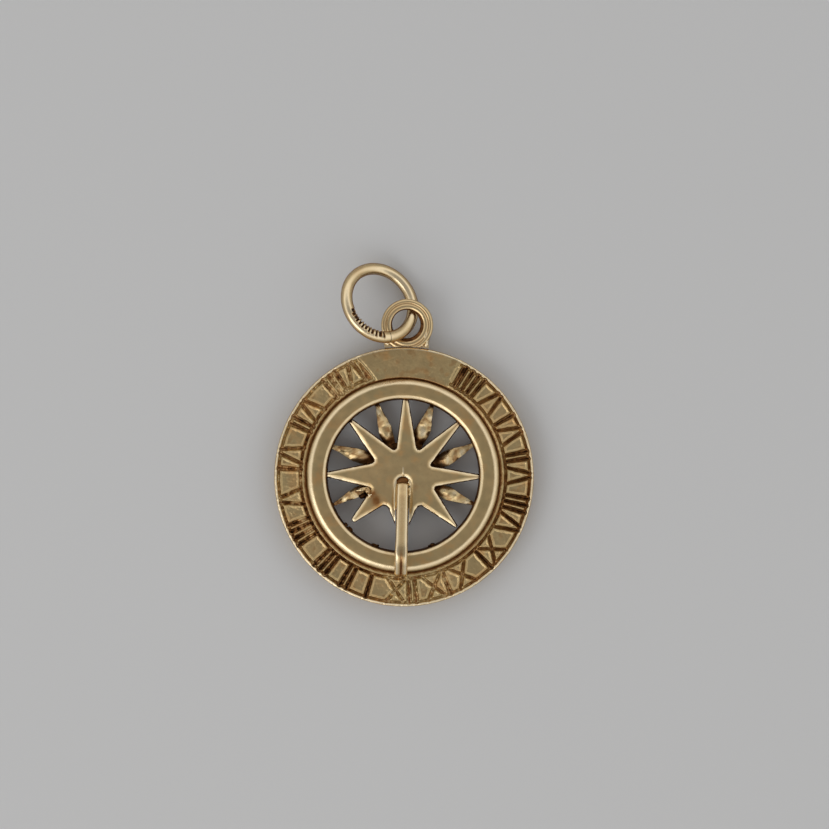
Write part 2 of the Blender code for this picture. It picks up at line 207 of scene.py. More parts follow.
# Solder round its root: piece, CAD node, place, radii, seed, lumpiness, and colour mark: painted highlight
# where negative, painted shade in the slot where positive.
ROOT_DROPS = (
    ("solder_root_left", "root_solder_left", (FIN_X - 0.54, -1.35, 1.36), (0.13, 1.15, 0.12), 1.0, 0.2, -0.8),
    ("solder_pool", None, (FIN_X, -0.45, 1.18), (0.50, 0.42, 0.10), 5.0, 0.1, 0.5),
    ("solder_root_upper", "root_solder_upper", (FIN_X + 0.50, -0.42, 1.38), (0.12, 0.22, 0.1), 2.0, 0.5, 0.0),
    ("solder_root_lower", "root_solder_lower", (FIN_X + 0.52, -1.05, 1.36), (0.11, 0.32, 0.1), 3.0, 0.5, 0.0),
)

# Bail and jump ring
BAIL_Y = 11.11
BAIL_Z = 1.6
BAIL_R = 1.52
BAIL_W = 0.78
BAIL_T = 0.46
BAIL_COLUMNS = 200
BAIL_AROUND = 44
# Groove round the bail's upper side: place across the band, half width, depth.
BAIL_GROOVE = (0.04, 0.085, 0.10)
# Its inner wall leans in, most at the lower right: mean lean, swing about the mean, direction in degrees.
BAIL_LEAN = (0.10, 0.10, -45.0)
# Drops of metal on the bail's feet: place, radii.
FOOT_DROPS = (
    ((1.42, 10.35, 1.50), (0.26, 0.85, 0.24)), ((-1.38, 10.15, 1.44), (0.20, 0.60, 0.18)),
    ((-1.42, 9.72, 1.52), (0.25, 0.15, 0.22)), ((-0.93, 9.74, 1.56), (0.20, 0.19, 0.20)),
    ((1.02, 9.70, 1.55), (0.25, 0.17, 0.20)), ((1.44, 9.72, 1.54), (0.13, 0.20, 0.24)),
)
RING_R = 2.68
WIRE_R = 0.45
RING_FROM_BAIL = 2.57
RING_BEARING = 142.3
RING_SLOPE_ACROSS = 0.65
RING_SLOPE_ALONG = 0.15
RING_Z = 1.95
SEAM_ANGLE = 136.5
SEAM_HALF = 0.02
RING_COLUMNS = 720
RING_AROUND = 36
# The wire lies a little inside the CAD's, so that its bumps stay in the CAD's box.
RING_SKIN = 0.020
RING_BUMPS = 0.012
PUNCH_DEPTH = 0.12
PUNCH_SIDE = 124.0
# Plain punch marks on the ring: angle along it, half length, reach across the wire.
PUNCHES = (
    (58, 3.0, 0.25), (64, 2.4, 0.45), (70, 2.6, 0.35), (75, 1.4, 0.6), (81, 1.6, 0.5), (87, 1.3, 0.65),
    (93, 1.7, 0.45), (99, 1.3, 0.6), (105, 1.8, 0.5), (112, 1.4, 0.65), (119, 2.4, 0.5), (125, 1.3, 0.6),
)

# Colours and light
DULL_BASE = (0.555, 0.392, 0.193)
SUN_BASE = (0.58, 0.412, 0.208)
BRIGHT_BASE = (0.62, 0.455, 0.245)
CAST_BASE = (0.66, 0.48, 0.25)
SOLDER_BASE = (0.80, 0.62, 0.37)
RUBBED_AND_HIGHLIGHT = (0.88, 0.725, 0.485)
STAIN_AND_SHADE = (0.30, 0.135, 0.045)
GRIME_AND_SHADE = (0.035, 0.014, 0.006)
ZENITH = 0.36
BELT = 1.0
HORIZON = (0.45, 0.46, 0.47)
# Brightness of the tent by a direction's height, 0 level and 1 straight up.
TENT = ((0.22, 0.75), (0.40, BELT), (0.62, BELT), (0.86, ZENITH))
TENT_TINT = (1.0, 0.995, 0.98)
FLOOR_COLOUR = (0.57, 0.57, 0.575)
FLOOR_HALF = 1200.0
PANEL_AT = (-260.0, -260.0, 280.0)
PANEL_SIZE = (400.0, 300.0)
PANEL_WATTS = 0.45

# Camera: how far it is turned, how wide it sees, what it looks at, how high it is, its sensor's width
TURN = 1.2
WIDTH_IN_FRAME = 60.69
CENTRE = (0.769, 4.561)
CAMERA_HEIGHT = 350.0
SENSOR = 36.0


def smoothstep(low, high, x):
    t = np.clip((x - low) / (high - low), 0.0, 1.0)
    return t * t * (3.0 - 2.0 * t)


def direction(degrees):
    """Unit vectors at clockwise angles from +Y."""
    a = np.radians(degrees)
    return np.stack([np.sin(a), np.cos(a)], axis=-1)


def fractal(points, scale, octaves=3, seed=0.0):
    """Smooth noise of about -1 to 1 at each point."""
    shift = Vector((seed, seed * 0.7, -seed))
    return np.array([noise.fractal(Vector(p) * scale + shift, 1.0, 2.0, octaves) for p in points])


def make_object(name, vertices, faces, material, body=BODY, dirt_and_painted_light=None, sharp=None):
    """A mesh piece from millimetre points that rides on a body."""
    mesh = bpy.data.meshes.new(name)
    mesh.from_pydata((np.asarray(vertices) * MM).tolist(), [], faces)
    mesh.validate()
    mesh.materials.append(material)
    mesh.shade_smooth()
    if sharp is not None:
        mesh.set_sharp_from_angle(angle=math.radians(sharp))
    values = np.zeros(len(vertices)) if dirt_and_painted_light is None else np.asarray(dirt_and_painted_light)
    layer = mesh.attributes.new("dirt_and_painted_light", "FLOAT", "POINT")
    layer.data.foreach_set("value", values.astype(np.float32))
    item = bpy.data.objects.new(name, mesh)
    bpy.context.scene.collection.objects.link(item)
    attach(item, body)
    return item


def grid_faces(rows, columns, close_rows, close_columns):
    """Quads of a grid of points stored row by row, outward for counter-clockwise columns and rising rows."""
    i = np.arange(rows if close_rows else rows - 1)
    j = np.arange(columns if close_columns else columns - 1)
    i, j = np.meshgrid(i, j, indexing="ij")
    i2 = (i + 1) % rows
    j2 = (j + 1) % columns
    quads = np.stack([i * columns + j, i * columns + j2, i2 * columns + j2, i2 * columns + j], axis=-1)
    return quads.reshape(-1, 4).tolist()


def glyph_places(numeral):
    """Letters of a numeral in clockwise order with their angles about its middle."""
    letters = numeral[::-1]
    places = [0.0]
    for a, b in zip(letters, letters[1:]):
        pair = {a, b}
        step = V_PITCH if "V" in pair else X_PITCH if "X" in pair else STROKE_PITCH
        places.append(places[-1] + step)
    middle = (places[0] + places[-1]) / 2
    return [(letter, place - middle) for letter, place in zip(letters, places)]


def numeral_strokes():
    """Inner angle, outer angle and half width of every stroke of every hour."""
    strokes = []
    for numeral, middle in HOURS:
        for letter, offset in glyph_places(numeral):
            at = middle + offset
            if letter == "I":
                strokes.append((at, at, STROKE_HALF[letter]))
            elif letter == "V":
                strokes.append((at - V_OPEN, at - V_APEX, STROKE_HALF[letter]))
                strokes.append((at + V_OPEN, at + V_APEX, STROKE_HALF[letter]))
            else:
                strokes.append((at + X_INNER, at - X_OUTER, STROKE_HALF[letter]))
                strokes.append((at - X_INNER, at + X_OUTER, STROKE_HALF[letter]))
    return strokes


def band_depth(radii, angles):
    """Degrees inside the numbered band, negative on the blank above it."""
    last = np.interp(radii, *zip(*BAND_END))
    return np.minimum(angles - BAND_START, last - angles)


def groove_depth(xy, angles):
    """How far inside a groove each point of the dial lies, in mm; negative on the raised parts."""
    seat_r = np.linalg.norm(xy - SEAT, axis=1)
    dial_r = np.linalg.norm(xy, axis=1)
    ends = np.radians(band_depth(dial_r, angles)) * dial_r
    inner = np.minimum(seat_r - INNER_GROOVE[0], INNER_GROOVE[1] - seat_r)
    outer = np.minimum(dial_r - OUTER_GROOVE[0], OUTER_GROOVE[1] - dial_r)
    inside = np.maximum(np.minimum(inner, ends), np.minimum(outer, ends))
    between = np.minimum(seat_r - INNER_GROOVE[0], OUTER_GROOVE[1] - dial_r)
    for first, last in WEDGES:
        wedge = np.radians(np.minimum(angles - first, last - angles)) * dial_r
        wedge = np.minimum(np.minimum(wedge, ends), between)
        inside = np.maximum(inside, np.minimum(wedge, WEDGE_DEPTH))
    for inner_angle, outer_angle, half in numeral_strokes():
        start = STROKE_R[0] * direction(inner_angle)
        end = STROKE_R[1] * direction(outer_angle)
        along = end - start
        near = np.abs((angles - (inner_angle + outer_angle) / 2)) < 8.0
        p = xy[near]
        t = np.clip(((p - start) @ along) / (along @ along), 0.0, 1.0)
        distance = np.linalg.norm(p - start - t[:, None] * along, axis=1)
        inside[near] = np.maximum(inside[near], half * (0.85 + 0.3 * t) - distance)
    return inside


def face_marks(top):
    """What scratches and specks do to the plate's face: a change of height, and shine from 0 to 1, painted as
    a highlight on partly rubbed metal.
    """
    lift = np.zeros(len(top))
    shine = np.zeros(len(top))
    for x0, y0, x1, y1, weight in SCRATCHES:
        line = distance_to(top, np.array([[x0, y0]]), np.array([[x1, y1]]))
        lift -= 0.6 * weight * np.exp(-(line / 0.035) ** 2)
        shine = np.maximum(shine, 9.0 * weight * np.exp(-(line / 0.05) ** 2))
    for x, y, radius, height in SPECKS:
        near = np.exp(-((top[:, 0] - x) ** 2 + (top[:, 1] - y) ** 2) / (radius * radius))
        lift += height * near
        shine = np.maximum(shine, near)
    return lift, shine


def border_shine(top, turn):
    """Shine of the raised line where the numbered band ends, painted as a highlight on partly rubbed metal.
    """
    reach = np.linalg.norm(top, axis=1)
    border = np.radians(band_depth(reach, turn)) * reach
    between = (np.linalg.norm(top - SEAT, axis=1) > INNER_GROOVE[0]) * (reach < OUTER_GROOVE[1])
    return np.exp(-((border + 0.06) / 0.06) ** 2) * between


def face_of_plate(top, turn, edge):
    """Height and colour mark over the plate's face: dirt, painted shade in the gap at the mouth, and painted
    highlights on edges and marks. edge runs from 0 at the mouth to 1 at the rim.
    """
    flat = np.column_stack([top, np.zeros(len(top))])
    calm = smoothstep(1.0, 0.94, edge)
    rough = fractal(flat, 5.5, 3, 9.0) * calm
    lumps = fractal(flat, 4.0, 3, 51.0) * calm
    swell = fractal(flat, 1.1, 3, 31.0) * calm
    inside = groove_depth(top, turn) + GROOVE_WANDER * fractal(flat, 2.6, 3, 3.0)
    strength = np.interp(turn, *zip(*STRENGTH))
    mess = np.interp(turn, *zip(*MESS))
    sunk = smoothstep(-0.05, 0.11, inside)
    core = smoothstep(0.07, 0.15, inside)
    for angle, radius, size, filled in FILLED:
        spot = radius * direction(angle)
        near = np.exp(-np.sum((top - spot) ** 2, axis=1) / (0.5 * size * size))
        sunk *= 1.0 - filled * near
    sunk *= 1.0 - 0.6 * mess * smoothstep(-0.1, 0.35, lumps)
    band = smoothstep(-2.0, 0.0, band_depth(np.linalg.norm(top, axis=1), turn))
    burr = np.exp(-((inside + BURR_HALF) / BURR_HALF) ** 2) * band
    lift, shine = face_marks(top)
    shine = np.maximum(shine, border_shine(top, turn))

    z = PLATE_T - FACE_DROP - RELIEF * sunk * (0.55 + 0.45 * strength) + GROOVE_GRAIN * rough * sunk
    z += FACE_GRAIN * rough + FACE_SWELL * swell - BURR * (1.0 - burr) * band * (1.0 - sunk)
    z += FACE_LUMPS * mess * lumps + lift
    z -= 0.05 * smoothstep(0.985, 1.0, edge) + 0.06 * smoothstep(0.02, 0.0, edge)
    z = np.minimum(z, PLATE_T)

    dirt_and_painted_light = sunk * (0.05 + 0.26 * strength + 0.3 * rough) + core * sunk * (0.15 + 1.1 * strength)
    dirt_and_painted_light = np.clip(dirt_and_painted_light, 0.0, 1.0)
    # Burred edges, scratches, specks and the band's border are lightened: partly rubbed metal, partly painted
    # highlights.
    dirt_and_painted_light -= np.maximum(burr * (1.0 - sunk), shine)
    lower_left = smoothstep(185.0, 215.0, turn) * smoothstep(325.0, 280.0, turn)
    inner = smoothstep(7.9, 7.5, np.linalg.norm(top - SEAT, axis=1))
    dirt_and_painted_light += 0.42 * lower_left * inner * (0.7 + rough)
    dirt_and_painted_light += 0.2 * smoothstep(0.05, 0.5, fractal(flat, 1.5, 4, 77.0)) * (1.0 - burr)
    # Painted shade along the mouth, in the gap beside the bezel.
    dirt_and_painted_light = np.maximum(dirt_and_painted_light, 0.55 * smoothstep(0.035, 0.0, edge))
    # Painted highlight along the rounded rim.
    dirt_and_painted_light -= 0.9 * smoothstep(0.93, 0.97, edge)
    return z, dirt_and_painted_light


def make_dial_plate(material):
    angles = np.arange(PLATE_COLUMNS) * 360.0 / PLATE_COLUMNS
    out = direction(-angles)
    shares = np.linspace(0.0, 1.0, PLATE_ROWS + 1)
    mouth = SEAT + MOUTH_R * out
    top = np.concatenate([(1.0 - share) * mouth + share * RIM_R * out for share in shares])
    turn = np.tile(np.mod(360.0 - angles, 360.0), len(shares))
    z, dirt_and_painted_light = face_of_plate(top, turn, np.repeat(shares, PLATE_COLUMNS))
    vertices = [np.column_stack([top, z])]
    marks = [dirt_and_painted_light]
    # Below the face: radius, height, whether it is round the seat's centre, and darkening: dirt and painted
    # shade, most on the mouth's wall.
    skirt = (
        (DIAL_R - 0.02, PLATE_T - 0.10, 0, 0.12), (DIAL_R, PLATE_T - 0.15, 0, 0.12),
        (DIAL_R, PLATE_T - 0.25, 0, 0.12), (DIAL_R, 0.12, 0, 0.12), (DIAL_R - 0.1, 0.0, 0, 0.12),
        (8.6, 0.0, 0, 0.12), (7.9, 0.0, 1, 0.12), (HOLE_R, 0.0, 1, 0.12),
        (HOLE_R - 0.02, PLATE_T - 0.13, 1, 0.6),
    )
    for radius, height, seated, mark in skirt:
        ring = seated * SEAT + radius * out
        vertices.append(np.column_stack([ring, np.full(PLATE_COLUMNS, height)]))
        marks.append(np.full(PLATE_COLUMNS, mark))
    faces = grid_faces(len(shares) + len(skirt), PLATE_COLUMNS, True, True)
    item = make_object("dial_relief", np.concatenate(vertices), [face[::-1] for face in faces], material,
                       dirt_and_painted_light=np.concatenate(marks))
    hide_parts("dial_plate")


def ring_of(name, profile, columns, material, centre, wobble, seed, node=None):
    """A turned ring with a slightly uneven surface. profile holds radius, height and colour mark: dirt and
    painted shade where positive, rubbed edges and painted highlights where negative.
    """
    angles = np.arange(columns) * 360.0 / columns
    out = direction(-angles)
    points = []
    marks = []
    for radius, height, dirt_and_painted_light in profile:
        ring = np.column_stack([centre + radius * out, np.full(columns, height)])
        points.append(ring)
        marks.append(np.full(columns, dirt_and_painted_light))
    points = np.concatenate(points)
    marks = np.concatenate(marks)
    push = wobble * fractal(points, 1.1, 4, seed)
    lift = wobble * 0.6 * fractal(points, 2.3, 3, seed + 5.0)
    radial = np.tile(out, (len(profile), 1))
    points[:, :2] += radial * push[:, None]
    above_floor = points[:, 2] > 0.01
    points[:, 2] += lift * above_floor
    faces = grid_faces(len(profile), columns, True, True)
    item = make_object(name, points, [f[::-1] for f in faces], material, dirt_and_painted_light=marks)
    if node:
        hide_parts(node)
    return item


def make_bezel(material):
    r_in = BEZEL_IN_R
    r_out = BEZEL_OUT_R
    top = BEZEL_TOP - 0.01
    # Its walls are painted dark as shade; its bevels are lightened, partly rubbed, partly painted highlights.
    profile = [
        (r_in - 0.09, 0.02, 0.5), (r_in - 0.09, 0.4, 0.9), (r_in - 0.09, 0.9, 0.9),
        (r_in - 0.07, 1.3, 0.95), (r_in - 0.01, 1.52, 0.8), (r_in + 0.02, 1.60, 0.0),
        (r_in + 0.07, 1.65, -0.6), (r_in + 0.15, 1.70, -0.6),
        (r_in + 0.22, top - 0.025, -0.4), (r_in + 0.28, top - 0.004, 0.0), (r_in + 0.5, top, 0.0),
        (r_in + 0.75, top, 0.0), (r_out - 0.46, top - 0.004, 0.0), (r_out - 0.40, top - 0.02, -0.4),
        (r_out - 0.32, top - 0.05, -0.7), (r_out - 0.22, top - 0.11, -0.6), (r_out - 0.12, 1.58, -0.45),
        (r_out - 0.04, 1.49, 0.0), (r_out, 1.42, 0.35), (r_out, 0.8, 1.0), (r_out, 0.1, 0.4),
        (r_out - 0.05, 0.0, 0.2), (6.4, 0.0, 0.1), (r_in + 0.05, 0.0, 0.2),
    ]
    ring_of("bezel", profile[::-1], BEZEL_COLUMNS, material, SEAT, 0.012, 2.0, "bezel_ring")
    for i, (angle, width) in enumerate(STUBS):
        x, y = SEAT + (r_in - 0.12) * direction(angle)
        radii = (width, 0.13, 0.32)
        # Painted shade darkens the stumps, as on the inner wall.
        blob(f"stub_{i}", (x, y, 1.0), radii, -angle, material, 40.0 + i, 0.5, dirt_and_painted_light=0.9)


def inset(outline, distance):
    """Move a counter-clockwise outline inwards."""
    a = outline - np.roll(outline, 1, axis=0)
    b = np.roll(outline, -1, axis=0) - outline
    a /= np.linalg.norm(a, axis=1)[:, None]
    b /= np.linalg.norm(b, axis=1)[:, None]
    middle = a + b
    middle /= np.maximum(np.linalg.norm(middle, axis=1), 0.5)[:, None]
    return outline + distance * np.column_stack([-middle[:, 1], middle[:, 0]])


def sun_outline():
    """Corners of the front sun, clockwise."""
    points = []
    for angle, reach, half_tip, valley, half_valley, radius in RAYS:
        out = direction(angle)
        side = direction(angle + 90.0)
        for share, back in ((-1.0, 0.05), (-0.5, 0.0), (0.5, 0.0), (1.0, 0.05)):
            points.append(SEAT + out * (reach - back) + side * half_tip * share)
        for turn, push in ((-half_valley - 0.8, 0.06), (0.0, -0.03), (half_valley + 0.8, 0.06)):
            points.append(SEAT + (radius + push) * direction(valley + turn))
    return np.array(points)


def slot_outline():
    """The slot for the gnomon's root, open towards the bottom ray."""
    edge = [np.array([FIN_X + SLOT_HALF, -RAY_REACH])]
    middle = np.array([FIN_X, SLOT_END_Y - SLOT_HALF])
    steps = 12
    for i in range(steps + 1):
        a = math.pi * i / steps
        edge.append(middle + SLOT_HALF * np.array([math.cos(a), math.sin(a)]))
    edge.append(np.array([FIN_X - SLOT_HALF, -RAY_REACH]))
    return np.array(edge)


def distance_to(points, starts, ends):
    """Distance from each point to the nearest of some segments."""
    nearest = np.full(len(points), 1e9)
    for a, b in zip(starts, ends):
        along = b - a
        t = np.clip(((points - a) @ along) / (along @ along), 0.0, 1.0)
        nearest = np.minimum(nearest, np.linalg.norm(points - a - t[:, None] * along, axis=1))
    return nearest


def reach_to(outline, out):
    """How far each direction runs from the seat's centre to the outline."""
    reach = np.zeros(len(out))
    starts = outline - SEAT
    for a, b in zip(starts, np.roll(starts, -1, axis=0)):
        along = b - a
        cross = out[:, 0] * along[1] - out[:, 1] * along[0]
        cross = np.where(np.abs(cross) < 1e-9, 1e-9, cross)
        r = (a[0] * along[1] - a[1] * along[0]) / cross
        t = (a[0] * out[:, 1] - a[1] * out[:, 0]) / cross
        hit = (t >= -1e-6) & (t <= 1 + 1e-6) & (r > 0)
        reach = np.where(hit, np.maximum(reach, r), reach)
    return reach


def face_of_sun(top, outline, slot):
    """Height and colour mark over the sun's upper face: painted shadows, and lightened bevels, slot lip and
    tick.
    """
    edge = distance_to(top, outline, np.roll(outline, -1, axis=0))
    mouth = distance_to(top, slot[:-1], slot[1:])
    grain = fractal(np.column_stack([top, np.zeros(len(top))]), 1.4, 4, 14.0)
    run, drop = RAY_BEVEL
    t = np.clip((edge + 0.03 * grain) / run, 0.0, 1.0)
    rise = 1.0 - (1.0 - t) ** 1.6
    lip_run, lip_drop = SLOT_LIP
    lip = smoothstep(0.0, 1.0, mouth / lip_run)
    tick = np.exp(-((top[:, 0] - TICK_X) / 0.05) ** 2)
    tick *= smoothstep(TICK_Y[0], TICK_Y[0] + 0.10, top[:, 1])
    tick *= smoothstep(TICK_Y[1], TICK_Y[1] - 0.12, top[:, 1])
    z = SUN_TOP - SUN_SKIN - drop * (1.0 - rise) - lip_drop * (1.0 - lip) + 0.009 * grain
    z = np.minimum(z + 0.02 * tick, SUN_TOP)
    spot = top - np.array(SHADOW_AT)
    shadow = np.exp(-(spot[:, 0] + 0.35 * spot[:, 1]) ** 2 / 0.12 - spot[:, 1] ** 2 / 0.55)
    blot = np.exp(-np.sum((top - np.array(BLOT_AT)) ** 2, axis=1) / 0.12)
    shadow = np.maximum(shadow, 0.35 * blot)
    # Bevels, the slot's lip and the tick are lightened: rubbed metal and painted highlights.
    polish_and_highlight = np.maximum(np.maximum(1.0 - rise, 1.0 - lip), tick)
    dirt_and_painted_light = np.clip(0.62 * shadow + 0.3 * shadow * grain, 0.0, 1.0) - 0.9 * polish_and_highlight * (1.0 - shadow)
    return z, dirt_and_painted_light


def make_sun(material):
    outline = sun_outline()
    slot = slot_outline()
    angles = np.arange(SUN_COLUMNS) * 360.0 / SUN_COLUMNS
    out = direction(-angles)
    reach = reach_to(outline, out)
    shares = np.linspace(0.02, 1.0, SUN_ROWS)
    top = np.concatenate([SEAT + share * reach[:, None] * out for share in shares])
    z, dirt_and_painted_light = face_of_sun(top, outline, slot)
    vertices = [np.column_stack([top, z])]
    marks = [dirt_and_painted_light]
    rim = top[-SUN_COLUMNS:]
    foot = inset(rim, -0.06)
    # The side wall and underside are painted dark: a painted shade outline round the rays.
    for ring, height, mark in ((rim, SUN_TOP - 0.2, 0.6), (foot, 1.1, 1.0), (foot, SUN_BOTTOM, 1.0)):
        vertices.append(np.column_stack([ring, np.full(SUN_COLUMNS, height)]))
        marks.append(np.full(SUN_COLUMNS, mark))
    vertices.append([[SEAT[0], SEAT[1], SUN_BOTTOM], [SEAT[0], SEAT[1], SUN_TOP - SUN_SKIN]])
    marks.append(np.array([0.9, 0.0]))
    rows = SUN_ROWS + 3
    faces = [face[::-1] for face in grid_faces(rows, SUN_COLUMNS, False, True)]
    low = rows * SUN_COLUMNS
    last = (rows - 1) * SUN_COLUMNS
    for j in range(SUN_COLUMNS):
        k = (j + 1) % SUN_COLUMNS
        faces.append((low + 1, j, k))
        faces.append((low, last + k, last + j))
    item = make_object("sun_rays", np.concatenate(vertices), faces, material,
                       dirt_and_painted_light=np.concatenate(marks), sharp=60.0)
    cut_slot(item, slot)
    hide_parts("sun_front")


def cut_slot(item, slot):
    """Take the gnomon's slot out of the finished sun. The boolean works in millimetres."""
    count = len(slot)
    low = np.column_stack([slot, np.full(count, SUN_BOTTOM - 0.2)])
    high = np.column_stack([slot, np.full(count, SUN_TOP + 0.2)])
    faces = [[j, (j + 1) % count, count + (j + 1) % count, count + j] for j in range(count)]
    faces.append(list(range(count))[::-1])
    faces.append(list(range(count, 2 * count)))
    mesh = bpy.data.meshes.new("slot_cutter")
    mesh.from_pydata(np.concatenate([low, high]).tolist(), [], faces)
    layer = mesh.attributes.new("dirt_and_painted_light", "FLOAT", "POINT")
    layer.data.foreach_set("value", np.ones(2 * count, dtype=np.float32))
    cutter = bpy.data.objects.new("slot_cutter", mesh)
    bpy.context.scene.collection.objects.link(cutter)
    item.data.transform(Matrix.Scale(1.0 / MM, 4))
    boolean = item.modifiers.new("slot", "BOOLEAN")
    boolean.operation = "DIFFERENCE"
    boolean.solver = "MANIFOLD"
    boolean.object = cutter
    graph = bpy.context.evaluated_depsgraph_get()
    cut_mesh = bpy.data.meshes.new_from_object(item.evaluated_get(graph))
    item.modifiers.clear()
    cut_mesh.transform(Matrix.Scale(MM, 4))
    item.data = cut_mesh
    bpy.data.objects.remove(cutter)


def leaf_points(root_angle, tip_angle, width, seed):
    """Rings of points along one low ray: ridged on top, flat underneath."""
    side = direction(root_angle + 90.0)
    rings = []
    index = np.arange(len(LEAF_REACH))
    for s in np.linspace(0, len(LEAF_REACH) - 1, LEAF_SLICES):
        reach = np.interp(s, index, LEAF_REACH)
        half = np.interp(s, index, LEAF_HALF) * width
        angle = np.interp(reach, (3.2, 5.4), (root_angle, tip_angle))
        out = direction(angle)
        ridge = np.interp(s, index, LEAF_RIDGE)
        shoulder = np.interp(s, index, LEAF_SHOULDER)
        lean = 0.12 * math.sin(seed * 2.1 + s * 0.6)
        middle = 0.4 * shoulder + 0.6 * ridge
        section = [(-1.0, 0.0), (1.0, 0.0), (1.0, shoulder * 0.9), (0.93, shoulder + 0.04), (0.5, middle),
                   (lean, ridge), (-0.5, middle), (-0.93, shoulder + 0.04), (-1.0, shoulder * 0.9)]
        skew = 0.22 * math.sin(2.3 * seed + 0.6) * np.interp(reach, (2.2, 3.4, 5.0), (0.0, 1.0, 0.0))
        for x, z in section:
            slant = x * skew
            xy = SEAT + out * (reach + slant) + side * x * half
            rings.append((xy[0], xy[1], z))
    points = np.array(rings)
    bump = fractal(points, 2.2, 3, seed)
    fine_bump = fractal(points, 6.0, 2, seed + 4.0)
    upper = points[:, 2] > 0.2
    points[:, 2] += upper * (0.13 * bump + 0.05 * fine_bump)
    points[:, :2] += (0.035 * fractal(points, 2.5, 2, seed + 8.0))[:, None] * side
    return points, len(section)


def make_back_sun(material):
    vertices = []
    marks = []
    faces = []
    count = 0
    for i, (root_angle, tip_angle, width) in enumerate(LEAVES):
        points, section = leaf_points(root_angle, tip_angle, width, 1.7 * i + 0.4)
        quads = grid_faces(LEAF_SLICES, section, False, True)
        faces += [[count + v for v in f] for f in quads]
        faces.append([count + v for v in range(section)][::-1])
        faces.append([count + (LEAF_SLICES - 1) * section + v for v in range(section)])
        reach = np.linalg.norm(points[:, :2] - SEAT, axis=1)
        # Painted shade near the hub and on the low sides; painted glints from noise elsewhere.
        shade = np.maximum(smoothstep(3.3, 2.5, reach), 0.9 * (points[:, 2] < 0.45))
        glint = fractal(points, 2.0, 2, 3.0 * i + 60.0)
        marks.append(0.6 * shade + (1.0 - shade) * np.clip(0.1 - 1.4 * glint, -1.0, 0.35))
        vertices.append(points)
        count += len(points)
    out = direction(-np.arange(HUB_COLUMNS) * 360.0 / HUB_COLUMNS)
    for radius, height in HUB_PROFILE:
        vertices.append(np.column_stack([SEAT + radius * out, np.full(HUB_COLUMNS, height)]))
        # The hub's top, hidden under the sun, is painted dark as shade.
        marks.append(np.full(HUB_COLUMNS, 0.15 if height == 0.0 else 0.9))
    rows = len(HUB_PROFILE)
    faces += [[count + v for v in f] for f in grid_faces(rows, HUB_COLUMNS, False, True)]
    faces.append([count + v for v in range(HUB_COLUMNS)][::-1])
    faces.append([count + (rows - 1) * HUB_COLUMNS + v for v in range(HUB_COLUMNS)])
    item = make_object("low_rays", np.concatenate(vertices), faces, material,
                       dirt_and_painted_light=np.concatenate(marks), sharp=40.0)
    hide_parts("sun_back")
    for i, (place, radii, turn, dirt_and_painted_light) in enumerate(CAST_LUMPS):
        blob(f"cast_lump_{i}", place, radii, turn, material, 70.0 + i, 0.5, dirt_and_painted_light=dirt_and_painted_light)


def fin_section(reach, top):
    """One cross-section of the gnomon, counter-clockwise seen from its outer end."""
    share = (reach - FIN_R[0]) / (FIN_R[-1] - FIN_R[0])
    half = FIN_HALF + FIN_SPREAD * share
    low = BEZEL_TOP + GAP if reach > FIN_STEP else SUN_BOTTOM
    root = smoothstep(0.36, 0.56, reach)
    half *= 0.62 + 0.38 * root
    split = smoothstep(5.7, 6.6, reach)
    depth = 0.16 * split
    width = 0.012 + 0.02 * split
    end = 1.0 - smoothstep(7.1, 7.30, reach)
    lobe = 0.45 + 0.55 * math.sqrt(max(end, 0.0))
    c = FIN_CHAMFER
    right = [(half, low), (half, top - c - 0.04), (half - 0.03, top - c + 0.03),
             (half - c + 0.03, top - 0.02), (half - c - 0.03, top), (width + 0.07, top - 0.02 * split),
             (width + 0.02, top - 0.07 * split), (width, top - depth * 0.8)]
    middle = (half + width) / 2
    right = [(middle + (x - middle) * lobe, low + (z - low) * (0.55 + 0.45 * lobe)) for x, z in right]
    centre = [(0.0, top - depth)]
    left = [(-x, z) for x, z in right[::-1]]
    return right + centre + left


def make_gnomon(material):
    fine = np.concatenate([np.linspace(a, b, 5)[:-1] for a, b in zip(FIN_R, FIN_R[1:])] + [[FIN_R[-1]]])
    rings = []
    for reach in fine:
        blur = min(FIN_ROUNDING, reach - FIN_R[0], FIN_R[-1] - reach)
        top = np.interp(reach + blur * np.linspace(-1, 1, 15), FIN_R, FIN_TOP).mean()
        rings += [(FIN_X + x, -reach, z) for x, z in fin_section(reach, top)]
    section = len(rings) // len(fine)
    points = np.array(rings)
    points[:, 0] += 0.012 * fractal(points, 0.9, 2, 6.0)
    faces = grid_faces(len(fine), section, False, True)
    faces.append(list(range(section))[::-1])
    faces.append(list(range(len(points) - section, len(points))))
    # Painted shade low down, at the root in the slot.
    marks = smoothstep(1.4, 0.9, points[:, 2])
    centre = np.abs(points[:, 0] - FIN_X)
    # Painted shade in the split at the outer end.
    marks = np.maximum(marks, 0.2 * (centre < 0.04) * smoothstep(5.8, 6.4, -points[:, 1]))
    # Painted shade on the middle of the top, darker on the back slope past the peak, from how light falls.
    marks += (0.13 + 0.20 * smoothstep(5.1, 5.7, -points[:, 1])) * smoothstep(0.3, 0.2, centre)
    # The chamfers are lightened: painted highlights on partly rubbed metal.
    marks -= 0.8 * smoothstep(0.22, 0.3, centre) * (points[:, 2] > 1.5)
    item = make_object("fin", points, faces, material, dirt_and_painted_light=marks, sharp=35.0)
    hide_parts("gnomon")


